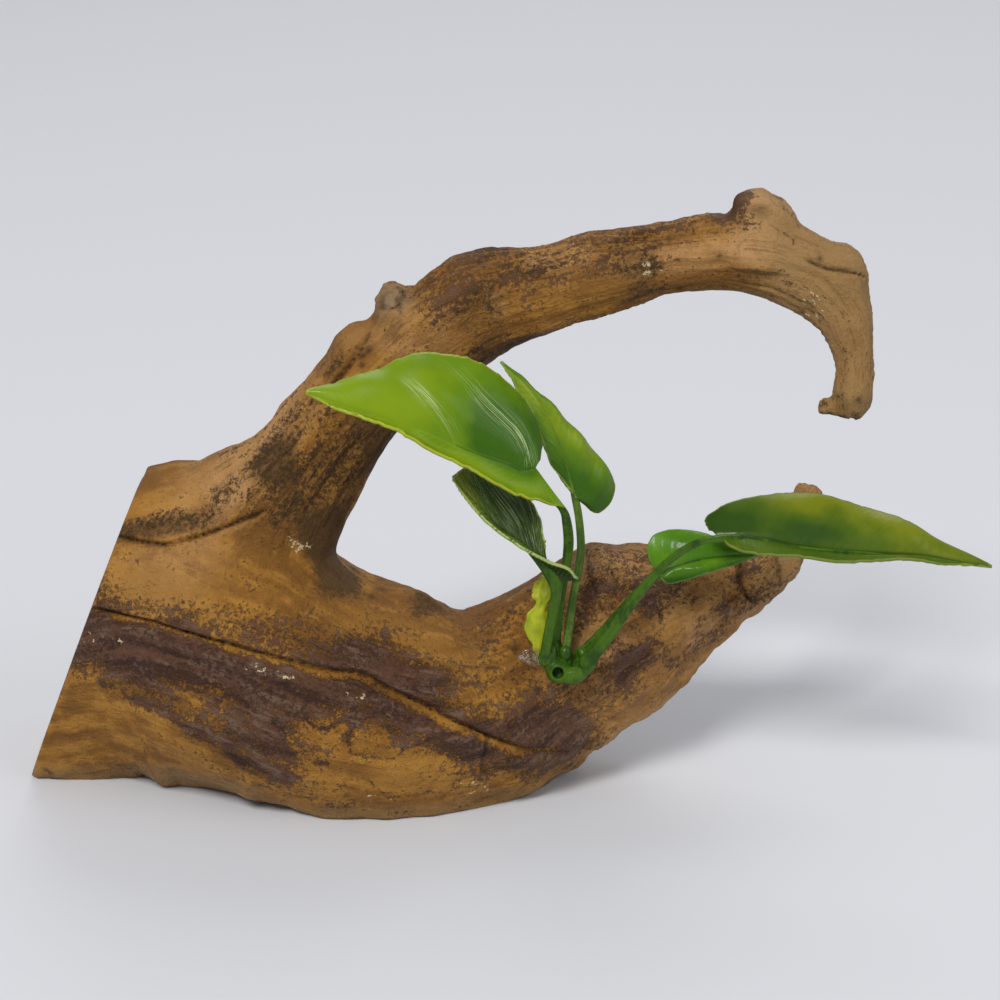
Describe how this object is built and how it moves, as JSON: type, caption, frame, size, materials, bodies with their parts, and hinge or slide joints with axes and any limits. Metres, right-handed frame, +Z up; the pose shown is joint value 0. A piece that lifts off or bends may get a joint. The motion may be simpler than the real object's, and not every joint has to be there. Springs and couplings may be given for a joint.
{
  "type": "resin cave ornament",
  "caption": "Aquarium ornament: cast driftwood log with a hollow end, an arch over a rising root to swim through, and a soft plastic plant on its front.",
  "frame": {"origin": "on the flat underside of the log, near the middle of the patch that rests on the table, 71 mm from the sawn end", "axes": "+X towards the free end of the arch and the tip of the root, +Y away from the side that carries the plant, +Z up"},
  "size_m": [0.2477, 0.0749, 0.1571],
  "materials": {
    "painted_resin": "matt painted, dry-brushed ochre over purple-brown",
    "stem_green": "satin moulded",
    "leaf_green": "glossy moulded, ribbed",
    "leaf_dark": "satin moulded, deeply ribbed",
    "sprig_yellow": "satin moulded",
    "clear_glue": "clear glossy bead"
  },
  "bodies": {
    "ornament": {"driftwood_casting": "painted_resin", "plant_hub": "stem_green", "anchor_peg": "stem_green", "glue_bead": "clear_glue", "sprig": "sprig_yellow"},
    "upper_frond": {"upper_stem": "stem_green", "upper_blade": "leaf_green"},
    "lower_frond": {"lower_stem": "stem_green", "lower_blade": "leaf_dark"},
    "middle_frond": {"middle_stem": "stem_green", "middle_blade": "leaf_green"},
    "long_frond": {"long_stem": "stem_green", "long_blade": "leaf_green"},
    "short_frond": {"short_stem": "stem_green", "short_blade": "leaf_green"}
  },
  "joints": [
    {"name": "upper_frond_bend", "type": "hinge", "parent": "ornament", "child": "upper_frond", "pos_m": [0.0702, -0.0234, 0.0468], "axis": [1, 0, 0], "range_deg": [-3, 4], "stiffness_Nm_per_rad": 0.02},
    {"name": "lower_frond_bend", "type": "hinge", "parent": "ornament", "child": "lower_frond", "pos_m": [0.0673, -0.0274, 0.0454], "axis": [1, 0, 0], "range_deg": [-2, 9], "stiffness_Nm_per_rad": 0.02},
    {"name": "middle_frond_bend", "type": "hinge", "parent": "ornament", "child": "middle_frond", "pos_m": [0.0726, -0.026, 0.0462], "axis": [1, 0, 0], "range_deg": [-6, 3], "stiffness_Nm_per_rad": 0.02},
    {"name": "long_frond_bend", "type": "hinge", "parent": "ornament", "child": "long_frond", "pos_m": [0.0776, -0.0274, 0.0442], "axis": [0.28, 0, -0.96], "range_deg": [-3, 10], "stiffness_Nm_per_rad": 0.02},
    {"name": "short_frond_bend", "type": "hinge", "parent": "ornament", "child": "short_frond", "pos_m": [0.0766, -0.023, 0.0446], "axis": [0.521, 0, -0.8535], "range_deg": [-4, 3], "stiffness_Nm_per_rad": 0.02}
  ]
}
